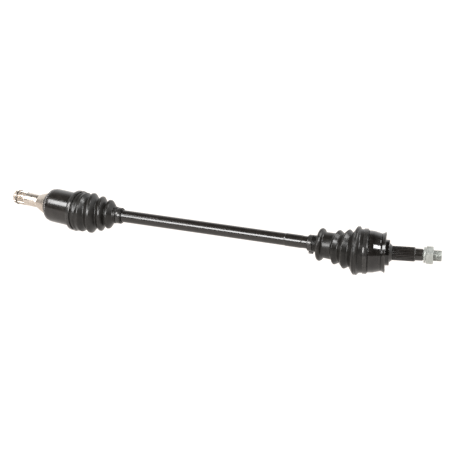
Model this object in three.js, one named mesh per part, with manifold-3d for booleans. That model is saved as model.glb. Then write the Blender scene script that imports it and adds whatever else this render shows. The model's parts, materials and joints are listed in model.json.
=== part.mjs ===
// Front-wheel-drive half shaft: a solid bar with a plunging tripod joint at the gearbox end and a
// fixed ball joint at the wheel end, each under a rubber bellows.
// Millimetres, +Z up. The bar lies along X, the wheel end at +X, and the origin is the middle of the bar.
import * as THREE from "three";
import { mergeVertices } from "three/addons/utils/BufferGeometryUtils.js";
import Module from "manifold-3d";

const wasm = await Module();
wasm.setup();

// ---------------------------------------------------------------- driving dimensions
const JOINT_SPAN = 600; // between the two joint centres
const INBOARD_BEND = -10; // degrees about Z at rest, housing against bar
const OUTBOARD_BEND = 11;
const GAP = 0.3; // running and seating gap between pieces
const BAR_RADIUS = 11.5;
const BAR_SWELL_RADIUS = 11.95;
const HOUSING_FACETS = 30;
const MAIN_FACETS = 28;
const RING_FACETS = 20;
const BOOT_FACETS = 18;

const TRIPOD = {
  splineRadius: 10,
  hubRadius: 14,
  hubHalf: 10,
  trunnionRadius: 7.5,
  trunnionTip: 26.6,
  needleRadius: 1.1,
  needleCount: 18,
  rollerRadius: 15.5,
  rollerInner: 14.6,
  rollerOuter: 24.4,
};
const HOUSING = {
  radius: 32.3,
  backFace: -37,
  floor: -33.2,
  mouth: 32,
  seatRadius: 32,
  trackHalfWidth: 17.3,
  trackReach: 29.3,
  throat: 21.2,
};
const INBOARD_STUB = { tip: -123.5, splineEnd: -96, tipRadius: 13.1, rootRadius: 11.7, teeth: 24 };
const BALL_JOINT = {
  splineRadius: 10.8,
  ballRadius: 7,
  ballCircle: 26,
  grooveRadius: 8.5,
  raceRadius: 22.7,
  raceHalf: 10,
  cageInner: 23.3,
  cageOuter: 28.4,
  cageHalf: 10.5,
  windowHalf: 7.3,
  windowSpan: 8.6,
  bellSphere: 28.9,
  count: 6,
};
const BELL = { mouth: -13, radius: 38.2, seatRadius: 36.8, floor: 22, face: 27, bossRadius: 23.3, boss: 34 };
const OUTBOARD_STUB = { splineStart: 39, splineEnd: 79.5, tipRadius: 12.95, rootRadius: 11.8, teeth: 26 };
const PILOT = { end: 93, radius: 10.9 };
const THREAD = { end: 126.5, radius: 10 };
const NUT = { start: 98.6, end: 111.6, acrossFlats: 30 };
const WASHER = { start: 94.6, end: 98.2, radius: 14 };

// Bellows outlines as [distance from the joint centre, outer radius, inner radius], from the bar end.
const INBOARD_BOOT = [
  [116, 13.9, 11.8], [105.5, 13.9, 11.8], [104.5, 15.9, 12.6], [99, 16.2, 13.6],
  [91.5, 27.2, 25], [87.5, 27.8, 25.6], [83, 21.8, 19.6],
  [76.5, 33, 30.8], [72.5, 32.8, 30.6], [67, 27.6, 25.4],
  [59, 38, 35.6], [54.5, 38, 35.6], [48.5, 31.2, 28.8],
  [41.5, 37.6, 35.2], [37, 36.6, 33.6], [34.5, 37.6, 32.8], [30, 37, 32.7], [20, 36.6, 32.7],
];
const OUTBOARD_BOOT = [
  [116, 13.9, 11.8], [105, 13.9, 11.8], [104, 15.4, 12.6], [98.5, 15.8, 13.4],
  [95.5, 28.5, 25.5], [92, 30.4, 28], [88.5, 28.5, 25.5], [85.5, 23.7, 21.4],
  [66, 24.4, 22], [61.5, 32, 29.6], [52.5, 26.4, 24], [43, 36.2, 33.8], [34.5, 30.2, 27.8],
  [26, 43.6, 40.6], [22.5, 44.2, 41.2], [18.5, 39.6, 37.5], [15, 39.3, 37.5], [4, 39.3, 37.5],
];
const INBOARD_CUTS = [118, 90, 72, 54, 34.5, 0];
const OUTBOARD_CUTS = [118, 85.5, 77, 61.5, 43, 24, 13, 0];

// ---------------------------------------------------------------- materials
function finish(color, roughness, metalness) {
  return new THREE.MeshStandardMaterial({ color, roughness, metalness });
}

const FINISH = {
  blackPaint: finish(0x15140f, 0.28, 0.2),
  groundSteel: finish(0xb9aea4, 0.3, 0.9),
  bearingSteel: finish(0x8e9194, 0.22, 0.95),
  springSteel: finish(0x4a4643, 0.4, 0.85),
  rubber: finish(0x1c1b19, 0.55, 0),
  clampSteel: finish(0x3a3734, 0.35, 0.8),
  zinc: finish(0xc9ccc6, 0.35, 0.85),
};

// ---------------------------------------------------------------- solids
// The closed manifold of a geometry, with collapsed triangles dropped and faces turned outwards.
function solidOf(geometry) {
  const bare = new THREE.BufferGeometry();
  bare.setAttribute("position", geometry.getAttribute("position"));
  bare.setIndex(geometry.index);
  const merged = mergeVertices(bare, 1e-4);
  const points = merged.attributes.position.array;
  const source = merged.index.array;
  const corners = [];
  for (let i = 0; i < source.length; i += 3) {
    const [a, b, c] = source.slice(i, i + 3);
    if (a !== b && b !== c && c !== a) corners.push(a, b, c);
  }
  if (signedVolume(points, corners) < 0) corners.reverse();
  const triVerts = new Uint32Array(corners);
  return new wasm.Manifold(new wasm.Mesh({ numProp: 3, vertProperties: points, triVerts }));
}

function signedVolume(points, corners) {
  const at = (i) => new THREE.Vector3().fromArray(points, 3 * i);
  let sum = 0;
  for (let i = 0; i < corners.length; i += 3) {
    sum += at(corners[i]).dot(at(corners[i + 1]).cross(at(corners[i + 2]))) / 6;
  }
  return sum;
}

function geometryOf(solid) {
  const mesh = solid.getMesh();
  const geometry = new THREE.BufferGeometry();
  geometry.setAttribute("position", new THREE.BufferAttribute(new Float32Array(mesh.vertProperties), 3));
  geometry.setIndex(new THREE.BufferAttribute(new Uint32Array(mesh.triVerts), 1));
  return geometry;
}

// A turned piece about +X. The profile is a list of [station, radius] that starts and ends on the axis.
function turned(profile, facets = MAIN_FACETS) {
  const points = profile.map(([station, radius]) => new THREE.Vector2(radius, station));
  return solidOf(new THREE.LatheGeometry(points, facets).rotateZ(-Math.PI / 2));
}

// A turned ring about +X, whose profile closes on itself.
function ring(profile, facets = RING_FACETS) {
  return turned([...profile, profile[0]], facets);
}

function tube(start, end, inner, outer, facets = RING_FACETS) {
  return ring([[start, inner], [start, outer], [end, outer], [end, inner]], facets);
}

// Points of a circular arc about the joint centre, from one angle above the axis to another.
function sphereArc(radius, fromStation, toStation, steps) {
  const from = Math.acos(fromStation / radius);
  const to = Math.acos(toStation / radius);
  return Array.from({ length: steps + 1 }, (_, i) => {
    const angle = from + ((to - from) * i) / steps;
    return [radius * Math.cos(angle), radius * Math.sin(angle)];
  });
}

// A flat outline in the YZ plane, pushed along +X from one station to another.
function pushed(shape, start, end, curveSegments = 8) {
  const depth = end - start;
  const geometry = new THREE.ExtrudeGeometry(shape, { depth, bevelEnabled: false, curveSegments });
  return solidOf(geometry.rotateY(Math.PI / 2).translate(start, 0, 0));
}

// A spline as a prism: straight-sided teeth with flat tips, or plain serrations.
const FLAT_TEETH = [[0.04, 0], [0.3, 1], [0.7, 1], [0.96, 0]];
const SERRATIONS = [[0, 0], [0.5, 1]];

function splinePrism(start, end, tip, root, teeth, form = FLAT_TEETH) {
  const corners = [];
  for (let i = 0; i < teeth; i += 1) {
    for (const [across, height] of form) {
      const radius = root + (tip - root) * height;
      const angle = ((i + across) / teeth) * 2 * Math.PI;
      corners.push(new THREE.Vector2(radius * Math.cos(angle), radius * Math.sin(angle)));
    }
  }
  return pushed(new THREE.Shape(corners), start, end);
}

// An open spring ring in the YZ plane.
function springRing(start, end, inner, outer, openingDegrees = 40, facets = 9) {
  const half = THREE.MathUtils.degToRad(openingDegrees / 2);
  const shape = new THREE.Shape();
  shape.absarc(0, 0, outer, half, 2 * Math.PI - half, false);
  shape.absarc(0, 0, inner, 2 * Math.PI - half, half, true);
  return pushed(shape, start, end, facets);
}

function moved(solid, matrix) {
  return solid.transform(matrix.elements);
}

function turnedAboutX(solid, degrees) {
  return moved(solid, new THREE.Matrix4().makeRotationX(THREE.MathUtils.degToRad(degrees)));
}

// ---------------------------------------------------------------- shaft bar
function shaftBar() {
  const half = JOINT_SPAN / 2;
  const inner = TRIPOD.hubHalf + GAP;
  const race = BALL_JOINT.raceHalf + GAP;
  const profile = [
    [-half - 14, 0], [-half - 14, 8.2], [-half - 13.2, 9], [-half - 12.4, 9], [-half - 12.4, 8.6],
    [-half - 10.6, 8.6], [-half - 10.6, 9.2], [-half + inner, 9.2], [-half + inner, 10.9],
    [-half + 30, 10.9], [-half + 33, BAR_RADIUS], [140, BAR_RADIUS], [142, BAR_SWELL_RADIUS],
    [172, BAR_SWELL_RADIUS], [174, BAR_RADIUS], [half - race, BAR_RADIUS], [half - race, 10],
    [half + 10.6, 10], [half + 10.6, 9.2], [half + 12.4, 9.2], [half + 12.4, 9.8],
    [half + 13.2, 9.8], [half + 14, 9], [half + 14, 0],
  ];
  const inboardSpline = splinePrism(
    -half - 10.6, -half + inner + 0.5, TRIPOD.splineRadius, 9.2, 18, SERRATIONS,
  );
  const outboardSpline = splinePrism(
    half - race - 0.5, half + 10.6, BALL_JOINT.splineRadius, 10, 20, SERRATIONS,
  );
  return turned(profile, RING_FACETS).add(inboardSpline).add(outboardSpline);
}

// ---------------------------------------------------------------- tripod joint, about its centre
function tripodSpider() {
  const { hubHalf, hubRadius, splineRadius, trunnionRadius, trunnionTip } = TRIPOD;
  const hub = ring([
    [-hubHalf, splineRadius + GAP], [-hubHalf, hubRadius - 1.5], [-hubHalf + 1.5, hubRadius],
    [hubHalf - 1.5, hubRadius], [hubHalf, hubRadius - 1.5], [hubHalf, splineRadius + GAP],
  ]);
  const trunnion = turned([
    [11, 0], [11, trunnionRadius], [24.9, trunnionRadius], [24.9, trunnionRadius - 0.9],
    [26, trunnionRadius - 0.9], [26, trunnionRadius], [trunnionTip - 0.1, trunnionRadius],
    [trunnionTip, trunnionRadius - 0.6], [trunnionTip, 0],
  ], 16);
  const bore = turned([[-15, 0], [-15, splineRadius + GAP], [15, splineRadius + GAP], [15, 0]], RING_FACETS);
  const arms = [0, 1, 2].map((i) => moved(trunnion, armMatrix(i)));
  return arms.reduce((whole, arm) => whole.add(arm), hub).subtract(bore);
}

// Turns a piece made about +X so that it lies along trunnion i, which points away from the bar.
function armMatrix(i) {
  const toZ = new THREE.Matrix4().makeRotationY(-Math.PI / 2);
  return new THREE.Matrix4().makeRotationX((i * 2 * Math.PI) / 3).multiply(toZ);
}

function trackRoller() {
  const { rollerInner, rollerOuter, rollerRadius } = TRIPOD;
  const centre = (rollerInner + rollerOuter) / 2;
  const half = centre - rollerInner;
  const crown = sphereArc(rollerRadius, -half, half, 5).map(([s, r]) => [centre + s, r]);
  const bore = TRIPOD.trunnionRadius + 2 * TRIPOD.needleRadius + 2 * GAP;
  return ring([[rollerInner, bore], ...crown, [rollerOuter, bore]]);
}

// A full row of needle rollers, side by side as one scalloped sleeve.
function needleRow() {
  const inner = TRIPOD.trunnionRadius + GAP;
  const outer = inner + 2 * TRIPOD.needleRadius;
  const waist = 0.4;
  const count = 2 * TRIPOD.needleCount;
  const circle = (radius, scallop) => Array.from({ length: count }, (_, i) => {
    const angle = (i / count) * 2 * Math.PI;
    const r = radius + (i % 2 ? scallop : 0);
    return new THREE.Vector2(r * Math.cos(angle), r * Math.sin(angle));
  });
  const shape = new THREE.Shape(circle(outer, -waist));
  shape.holes.push(new THREE.Path(circle(inner, waist)));
  return pushed(shape, TRIPOD.rollerInner + 0.4, TRIPOD.rollerOuter - 0.4);
}

function rollerSnapRing() {
  return springRing(25.15, 25.75, TRIPOD.trunnionRadius - 0.9 + GAP, 9.7, 50, 7);
}

function spiderCirclip() {
  return springRing(-12.1, -10.9, 8.9, 11.6);
}

// The inboard housing: a round cup with three straight tracks, forged in one with its splined stub.
function inboardHousing() {
  const { radius, backFace, floor, mouth, seatRadius, throat, trackReach, trackHalfWidth } = HOUSING;
  const { tip, splineEnd, tipRadius, rootRadius, teeth } = INBOARD_STUB;
  const outside = turned([
    [tip + 3, 0], [tip, 2.6], [tip, 9.6], [tip + 1.6, rootRadius], [splineEnd, rootRadius],
    [splineEnd, 12.6], [-70, 12.2], [-68.5, 11.2], [-67, 11.2], [-66, 13.4], [-55, 17.8],
    [-43, 22.5], [-40.5, 25], [backFace, 26.2], [backFace, 28.4], [-34.4, 30.8], [-33.7, 30.8],
    [-33.5, 30.3], [-32.9, 30.3], [-32.7, 31.1], [-29.5, 32], [-25, radius], [19, radius],
    [19.4, seatRadius],
    [mouth, seatRadius], [mouth, 0],
  ], HOUSING_FACETS);
  const toothEnvelope = turned([
    [tip + 1, 0], [tip, 3], [tip, 10.2], [tip + 2.6, tipRadius], [splineEnd - 0.8, tipRadius],
    [splineEnd, rootRadius], [splineEnd, 0],
  ], RING_FACETS);
  const splines = splinePrism(tip, splineEnd, tipRadius, rootRadius, teeth).intersect(toothEnvelope);
  const ringGroove = tube(-115.9, -113.5, 12, 15);
  const bore = turned([
    [floor, 0], [floor, throat], [11, throat], [mouth + 0.2, trackReach], [mouth + 2, trackReach],
    [mouth + 2, 0],
  ]);
  const stopGroove = turned([[28.2, 0], [28.2, 30.4], [30.4, 30.4], [30.4, 0]], HOUSING_FACETS);
  const edge = Math.asin(trackHalfWidth / trackReach);
  const slot = new THREE.Shape();
  slot.moveTo(0, -trackHalfWidth);
  slot.lineTo(trackReach * Math.cos(edge), -trackHalfWidth);
  slot.absarc(0, 0, trackReach, -edge, edge, false);
  slot.lineTo(0, trackHalfWidth);
  const track = moved(pushed(slot, floor, mouth + 2, 5), new THREE.Matrix4().makeRotationX(Math.PI));
  let cup = outside.add(splines).subtract(ringGroove).subtract(bore).subtract(stopGroove);
  for (const turn of [0, 120, 240]) cup = cup.subtract(turnedAboutX(track, turn));
  return cup;
}

function housingStopRing() {
  return springRing(28.6, 30, 27.7, 30, 30, 11);
}

function stubSnapRing() {
  return springRing(-115.6, -113.8, 12.3, 14.1, 45);
}

// ---------------------------------------------------------------- ball joint, about its centre
// The solid that a ball sweeps along its groove, as an arc tube in the XY plane.
class BallPath extends THREE.Curve {
  constructor(radius, from, to) {
    super();
    Object.assign(this, { radius, from, to });
  }

  getPoint(t, target = new THREE.Vector3()) {
    const angle = THREE.MathUtils.degToRad(this.from + (this.to - this.from) * t);
    return target.set(-this.radius * Math.sin(angle), this.radius * Math.cos(angle), 0);
  }
}

function grooveTube(from, to) {
  const sides = 12;
  const reach = BALL_JOINT.grooveRadius / Math.cos(Math.PI / sides);
  const corners = Array.from({ length: sides }, (_, i) => {
    const angle = ((i + 0.5) / sides) * 2 * Math.PI;
    return new THREE.Vector2(reach * Math.cos(angle), reach * Math.sin(angle));
  });
  const extrudePath = new BallPath(BALL_JOINT.ballCircle, from, to);
  const steps = Math.round((to - from) / 9);
  return solidOf(new THREE.ExtrudeGeometry(new THREE.Shape(corners), { extrudePath, steps }));
}

function cutGrooves(solid, from, to) {
  const groove = grooveTube(from, to);
  let cut = solid;
  for (let i = 0; i < BALL_JOINT.count; i += 1) cut = cut.subtract(turnedAboutX(groove, 60 * i));
  return cut;
}

function innerRace() {
  const { raceHalf, raceRadius, splineRadius } = BALL_JOINT;
  const bore = splineRadius + GAP;
  const outside = sphereArc(raceRadius, -raceHalf, raceHalf, 5);
  return cutGrooves(ring([[-raceHalf, bore], ...outside, [raceHalf, bore]], MAIN_FACETS), -62, 62);
}

function raceCirclip() {
  return springRing(10.9, 12.1, 9.5, 12.2);
}

function ballCage() {
  const { cageHalf, cageInner, cageOuter, windowHalf, windowSpan } = BALL_JOINT;
  const outside = sphereArc(cageOuter, -cageHalf, cageHalf, 5);
  const inside = sphereArc(cageInner, cageHalf, -cageHalf, 5);
  const window = new THREE.BoxGeometry(2 * windowHalf, 16, 2 * windowSpan).translate(0, 26, 0);
  let cage = ring([...outside, ...inside], HOUSING_FACETS);
  for (let i = 0; i < BALL_JOINT.count; i += 1) cage = cage.subtract(turnedAboutX(solidOf(window), 60 * i));
  return cage;
}

function ball(i) {
  const sphere = new THREE.SphereGeometry(BALL_JOINT.ballRadius, 12, 8);
  return turnedAboutX(solidOf(sphere.translate(0, BALL_JOINT.ballCircle, 0)), 60 * i);
}

// The outboard housing: the grooved bell, forged in one with its splined and threaded stub.
function outboardHousing() {
  const { mouth, radius, seatRadius, floor, face, bossRadius, boss } = BELL;
  const { splineStart, splineEnd, tipRadius, rootRadius, teeth } = OUTBOARD_STUB;
  const { bellSphere } = BALL_JOINT;
  const outside = turned([
    [mouth, 0], [mouth, seatRadius - 0.6], [mouth + 0.6, seatRadius], [-3.4, seatRadius],
    [-3.2, radius], [6, radius - 0.7], [18.8, 34.2], [19.3, 33.2], [24, 33.2], [face, 30],
    [face, bossRadius], [boss - 0.8, bossRadius], [boss, bossRadius - 0.8], [boss, 17.4],
    [splineStart - 0.2, 13.3], [splineStart, rootRadius], [splineEnd, rootRadius],
    [splineEnd + 0.5, PILOT.radius], [PILOT.end - 0.6, PILOT.radius], [PILOT.end, THREAD.radius],
    [THREAD.end - 1.6, THREAD.radius], [THREAD.end, THREAD.radius - 1.6], [THREAD.end, 0],
  ], HOUSING_FACETS);
  const splines = splinePrism(splineStart - 1, splineEnd, tipRadius, rootRadius, teeth);
  const cavity = turned([
    [floor, 0], ...sphereArc(bellSphere, floor, -7.5, 7), [mouth - 0.1, 31.2], [mouth - 1, 31.2],
    [mouth - 1, 0],
  ], HOUSING_FACETS);
  const hollow = outside.add(splines).subtract(cavity);
  return cutGrooves(hollow, -41, 72);
}

function dustShield() {
  return ring([
    [19.7, 33.5], [19.7, 34.4], [21.6, 34.4], [26.6, 37.2], [26.9, 36.6], [22, 33.5],
  ], HOUSING_FACETS);
}

function hubWasher() {
  return tube(WASHER.start, WASHER.end, THREAD.radius + GAP, WASHER.radius);
}

function hubNut() {
  const { start, end, acrossFlats } = NUT;
  const corner = acrossFlats / 2 / Math.cos(Math.PI / 6);
  const corners = Array.from({ length: 6 }, (_, i) => {
    const angle = (i * Math.PI) / 3;
    return new THREE.Vector2(corner * Math.cos(angle), corner * Math.sin(angle));
  });
  const flat = acrossFlats / 2;
  const chamfers = ring([
    [start, THREAD.radius + GAP], [start, flat - 0.2], [start + 1.4, corner + 0.1],
    [end - 1.4, corner + 0.1], [end, flat - 0.2], [end, THREAD.radius + GAP],
  ]);
  return pushed(new THREE.Shape(corners), start, end).intersect(chamfers);
}

// ---------------------------------------------------------------- boots and clamps
// The middle line of a bellows that leaves one axis and joins the other, as { centre, angle }.
function bentLine(fromStation, fromDegrees, toStation, toDegrees) {
  const ends = [[fromStation, fromDegrees], [toStation, toDegrees]].map(([station, degrees]) => {
    const angle = THREE.MathUtils.degToRad(degrees);
    const along = new THREE.Vector2(Math.cos(angle), Math.sin(angle));
    return { station, angle, along, point: along.clone().multiplyScalar(station) };
  });
  const [a, b] = ends;
  const length = b.station - a.station;
  return (station) => {
    const rigid = station <= a.station ? a : station >= b.station ? b : null;
    if (rigid) return { centre: rigid.along.clone().multiplyScalar(station), angle: rigid.angle };
    const t = (station - a.station) / length;
    const weight = { p: 2 * t ** 3 - 3 * t ** 2 + 1, m: t ** 3 - 2 * t ** 2 + t, n: t ** 3 - t ** 2 };
    const slope = { p: 6 * t ** 2 - 6 * t, m: 3 * t ** 2 - 4 * t + 1, n: 3 * t ** 2 - 2 * t };
    const sum = (w, rest) => a.point.clone().multiplyScalar(w.p).addScaledVector(b.point, rest - w.p)
      .addScaledVector(a.along, w.m * length).addScaledVector(b.along, w.n * length);
    const heading = sum(slope, 0);
    return { centre: sum(weight, 1), angle: Math.atan2(heading.y, heading.x) };
  };
}

// One stretch of a bellows between two distances, bent along its middle line.
function bootSection(outline, side, from, to, line) {
  const clear = GAP / 2;
  const at = (distance) => {
    const i = outline.findIndex(([d], k) => k > 0 && d <= distance);
    const [a, b] = [outline[i - 1], outline[i]];
    const share = (a[0] - distance) / (a[0] - b[0]);
    return a.map((value, k) => value + (b[k] - value) * share);
  };
  const first = Math.min(from - clear, outline[0][0]);
  const last = Math.max(to + clear, outline[outline.length - 1][0]);
  const kept = [at(first), ...outline.filter(([d]) => d < first - 0.4 && d > last + 0.4), at(last)];
  const outer = kept.map(([distance, radius]) => [side * distance, radius]);
  const inner = kept.map(([distance, , radius]) => [side * distance, radius]).reverse();
  const straight = geometryOf(ring([...outer, ...inner], BOOT_FACETS));
  const position = straight.attributes.position;
  for (let i = 0; i < position.count; i += 1) {
    const { centre, angle } = line(position.getX(i));
    const across = position.getY(i);
    position.setX(i, centre.x - across * Math.sin(angle));
    position.setY(i, centre.y + across * Math.cos(angle));
  }
  return solidOf(straight);
}

// A steel band with one crimped ear that stands out at the given angle from +Y towards +Z.
function earClamp(start, end, inner, thickness, earDegrees, earHeight = 5.4) {
  const band = tube(start, end, inner, inner + thickness, RING_FACETS);
  const base = inner + thickness * 0.7;
  const top = inner + thickness + earHeight;
  const ear = new THREE.Shape([
    [base, -3.2], [base + 2, -2.4], [top - 1.2, -3.2], [top, -2.4],
    [top, 2.4], [top - 1.2, 3.2], [base + 2, 2.4], [base, 3.2],
  ].map(([y, z]) => new THREE.Vector2(-z, y)));
  ear.holes.push(new THREE.Path([
    [base + 1, -1.9], [base + 2.2, -1.2], [top - 1.5, -1.9],
    [top - 1.5, 1.9], [base + 2.2, 1.2], [base + 1, 1.9],
  ].map(([y, z]) => new THREE.Vector2(-z, y))));
  const inset = (end - start) * 0.08;
  return band.add(turnedAboutX(pushed(ear, start + inset, end - inset), earDegrees));
}

// ---------------------------------------------------------------- assembly
const part = new THREE.Group();
const inboard = new THREE.Group();
const outboard = new THREE.Group();
const inboardBar = new THREE.Group();
const outboardBar = new THREE.Group();
const cageFrame = new THREE.Group();
inboardBar.position.x = -JOINT_SPAN / 2;
outboardBar.position.x = JOINT_SPAN / 2;
inboard.rotation.z = THREE.MathUtils.degToRad(INBOARD_BEND);
outboard.rotation.z = THREE.MathUtils.degToRad(OUTBOARD_BEND);
cageFrame.rotation.z = THREE.MathUtils.degToRad(OUTBOARD_BEND / 2);
part.add(inboardBar, outboardBar);
inboardBar.add(inboard);
outboardBar.add(outboard, cageFrame);

function place(group, name, solid, material) {
  const mesh = new THREE.Mesh(geometryOf(solid), material);
  mesh.name = name;
  group.add(mesh);
}

place(part, "shaft_bar", shaftBar(), FINISH.blackPaint);

place(inboardBar, "tripod_spider", tripodSpider(), FINISH.bearingSteel);
place(inboardBar, "spider_circlip", spiderCirclip(), FINISH.springSteel);
for (let i = 0; i < 3; i += 1) {
  place(inboardBar, `needle_row_${i + 1}`, moved(needleRow(), armMatrix(i)), FINISH.bearingSteel);
  place(inboardBar, `track_roller_${i + 1}`, moved(trackRoller(), armMatrix(i)), FINISH.bearingSteel);
  place(inboardBar, `roller_snap_ring_${i + 1}`, moved(rollerSnapRing(), armMatrix(i)), FINISH.springSteel);
}
place(inboard, "inboard_housing", inboardHousing(), FINISH.blackPaint);
place(inboard, "housing_stop_ring", housingStopRing(), FINISH.springSteel);
place(inboard, "stub_snap_ring", stubSnapRing(), FINISH.springSteel);

place(outboardBar, "inner_race", innerRace(), FINISH.bearingSteel);
place(outboardBar, "race_circlip", raceCirclip(), FINISH.springSteel);
place(cageFrame, "ball_cage", ballCage(), FINISH.bearingSteel);
for (let i = 0; i < BALL_JOINT.count; i += 1) {
  place(cageFrame, `ball_${i + 1}`, ball(i), FINISH.bearingSteel);
}
place(outboard, "outboard_housing", outboardHousing(), FINISH.blackPaint);
place(outboard, "dust_shield", dustShield(), FINISH.blackPaint);
place(outboard, "hub_washer", hubWasher(), FINISH.zinc);
place(outboard, "hub_nut", hubNut(), FINISH.zinc);

const INBOARD_SECTIONS = ["neck", "fold_1", "fold_2", "fold_3", "cuff"];
const OUTBOARD_SECTIONS = ["neck", "barrel", "fold_1", "fold_2", "fold_3", "fold_4", "cuff"];
const inboardLine = bentLine(33, INBOARD_BEND, 98, 0);
const outboardLine = bentLine(-86, 0, -15, OUTBOARD_BEND);
INBOARD_SECTIONS.forEach((name, i) => {
  const section = bootSection(INBOARD_BOOT, 1, INBOARD_CUTS[i], INBOARD_CUTS[i + 1], inboardLine);
  place(inboardBar, `boot_inboard_${name}`, section, FINISH.rubber);
});
OUTBOARD_SECTIONS.forEach((name, i) => {
  const section = bootSection(OUTBOARD_BOOT, -1, OUTBOARD_CUTS[i], OUTBOARD_CUTS[i + 1], outboardLine);
  place(outboardBar, `boot_outboard_${name}`, section, FINISH.rubber);
});

const HIDDEN_EAR = -24; // degrees from +Y towards +Z
const LOW_EAR = -90;
place(inboardBar, "clamp_inboard_small", earClamp(106.6, 114.4, 14.2, 1.1, HIDDEN_EAR), FINISH.clampSteel);
place(inboard, "clamp_inboard_large", earClamp(21.6, 29.6, 37.7, 1.1, HIDDEN_EAR), FINISH.clampSteel);
place(outboardBar, "clamp_outboard_small", earClamp(-114.6, -106.4, 14.2, 1.1, LOW_EAR), FINISH.clampSteel);
place(outboard, "clamp_outboard_large", earClamp(-12.6, -5.2, 39.9, 1.1, HIDDEN_EAR), FINISH.clampSteel);

export default part;
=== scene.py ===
"""Builds the finished look of a front-wheel-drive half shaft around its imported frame."""

import json
import math

import bmesh
import bpy
from bpy.props import FloatProperty, FloatVectorProperty, IntProperty, PointerProperty
from bpy.types import Operator, Panel, PropertyGroup
from mathutils import Matrix, Vector


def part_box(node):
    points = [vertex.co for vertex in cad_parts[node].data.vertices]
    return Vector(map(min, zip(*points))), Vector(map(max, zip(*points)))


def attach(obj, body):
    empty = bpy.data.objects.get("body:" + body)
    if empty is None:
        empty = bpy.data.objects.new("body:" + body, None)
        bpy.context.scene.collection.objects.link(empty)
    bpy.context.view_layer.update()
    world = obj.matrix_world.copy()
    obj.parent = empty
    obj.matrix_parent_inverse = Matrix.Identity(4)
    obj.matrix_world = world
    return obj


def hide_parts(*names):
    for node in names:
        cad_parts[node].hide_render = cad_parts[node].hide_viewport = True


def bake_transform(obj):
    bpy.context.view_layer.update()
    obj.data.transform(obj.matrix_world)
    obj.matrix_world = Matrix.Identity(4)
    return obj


bl_info = {
    "name": "Half shaft finish",
    "version": (1, 0, 0),
    "blender": (4, 5, 0),
    "location": "View3D > Sidebar > Half Shaft",
    "description": "Builds a drive half shaft with its joints, bellows, clamps and hub nut",
    "category": "Add Mesh",
}

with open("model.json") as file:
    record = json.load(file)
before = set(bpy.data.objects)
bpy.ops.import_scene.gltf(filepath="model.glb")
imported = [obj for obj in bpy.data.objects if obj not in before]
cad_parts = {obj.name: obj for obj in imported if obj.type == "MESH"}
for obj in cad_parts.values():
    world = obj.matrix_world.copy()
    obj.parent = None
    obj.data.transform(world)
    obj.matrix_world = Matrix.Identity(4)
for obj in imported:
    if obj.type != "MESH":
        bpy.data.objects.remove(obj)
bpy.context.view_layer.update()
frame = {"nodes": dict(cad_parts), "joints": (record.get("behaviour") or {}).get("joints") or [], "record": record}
MM = 0.001
TURN = 2 * math.pi

# ---------------------------------------------------------------- places, from the frame
JOINTS = {joint["name"]: joint for joint in frame["joints"]}
MOUNTS = {mount["name"]: mount for mount in frame["record"]["mounts"]}
INBOARD_CENTRE = Vector(JOINTS["inboard_tilt"]["pos_m"])
OUTBOARD_CENTRE = Vector(JOINTS["outboard_tilt"]["pos_m"])


def bend_of(direction):
    return math.atan2(direction[1], direction[0])


INBOARD_BEND = bend_of(JOINTS["inboard_plunge"]["axis"])
OUTBOARD_BEND = bend_of(MOUNTS["hub_shoulder"]["axis"])
INBOARD_BAR = Matrix.Translation(INBOARD_CENTRE)
OUTBOARD_BAR = Matrix.Translation(OUTBOARD_CENTRE)
INBOARD_CUP = INBOARD_BAR @ Matrix.Rotation(INBOARD_BEND, 4, "Z")
OUTBOARD_CUP = OUTBOARD_BAR @ Matrix.Rotation(OUTBOARD_BEND, 4, "Z")
CAGE = OUTBOARD_BAR @ Matrix.Rotation(OUTBOARD_BEND / 2, 4, "Z")

# ------------------------------------------------- outlines, in millimetres from a joint centre
# Bellows as [distance from the joint centre, outer radius, inner radius], from the bar end.
INBOARD_BOOT = [
    (116, 13.9, 11.8), (105.5, 13.9, 11.8), (104.5, 15.9, 12.6), (103.1, 15.9, 12.8),
    (102.7, 15.4, 12.9), (101.9, 15.4, 13), (101.5, 16, 13.1), (99, 16.2, 13.6),
    (91.5, 27.2, 25), (87.5, 27.8, 25.6), (83, 21.8, 19.6),
    (76.5, 33, 30.8), (72.5, 32.8, 30.6), (67, 27.6, 26.4),
    (59, 38, 35.6), (54.5, 38, 35.6), (48.5, 31.2, 30.0),
    (41.5, 37.6, 35.2), (37, 36.6, 33.6), (34.5, 37.6, 32.8), (30, 37, 32.7),
    (21, 36.6, 32.7), (20, 35.6, 32.7),
]
OUTBOARD_BOOT = [
    (116, 13.9, 11.8), (105, 13.9, 11.8), (104, 15.4, 12.6), (103.2, 15.4, 12.7),
    (102.8, 14.7, 12.8), (102, 14.7, 12.8), (101.6, 15.5, 12.9), (100.8, 15.5, 13),
    (100.4, 14.9, 13.1), (99.6, 14.9, 13.2), (98.5, 15.8, 13.4),
    (95.5, 28.5, 25.5), (92, 30.4, 28), (88.5, 28.5, 25.5), (85.5, 23.7, 21.4),
    (66, 24.4, 22), (61.5, 32, 29.6), (52.5, 26.4, 25.2), (43, 36.2, 33.8), (34.5, 30.2, 29.0),
    (26.6, 43.3, 40.6), (25.4, 44.1, 41), (24.6, 43.5, 41), (23.6, 43.6, 41.1), (22.6, 44.2, 41.2),
    (21.4, 43.6, 40.8), (18.5, 39.6, 37.5), (15, 39.3, 37.5), (5.4, 39.3, 37.5), (4, 38.8, 37.5),
]
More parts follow.
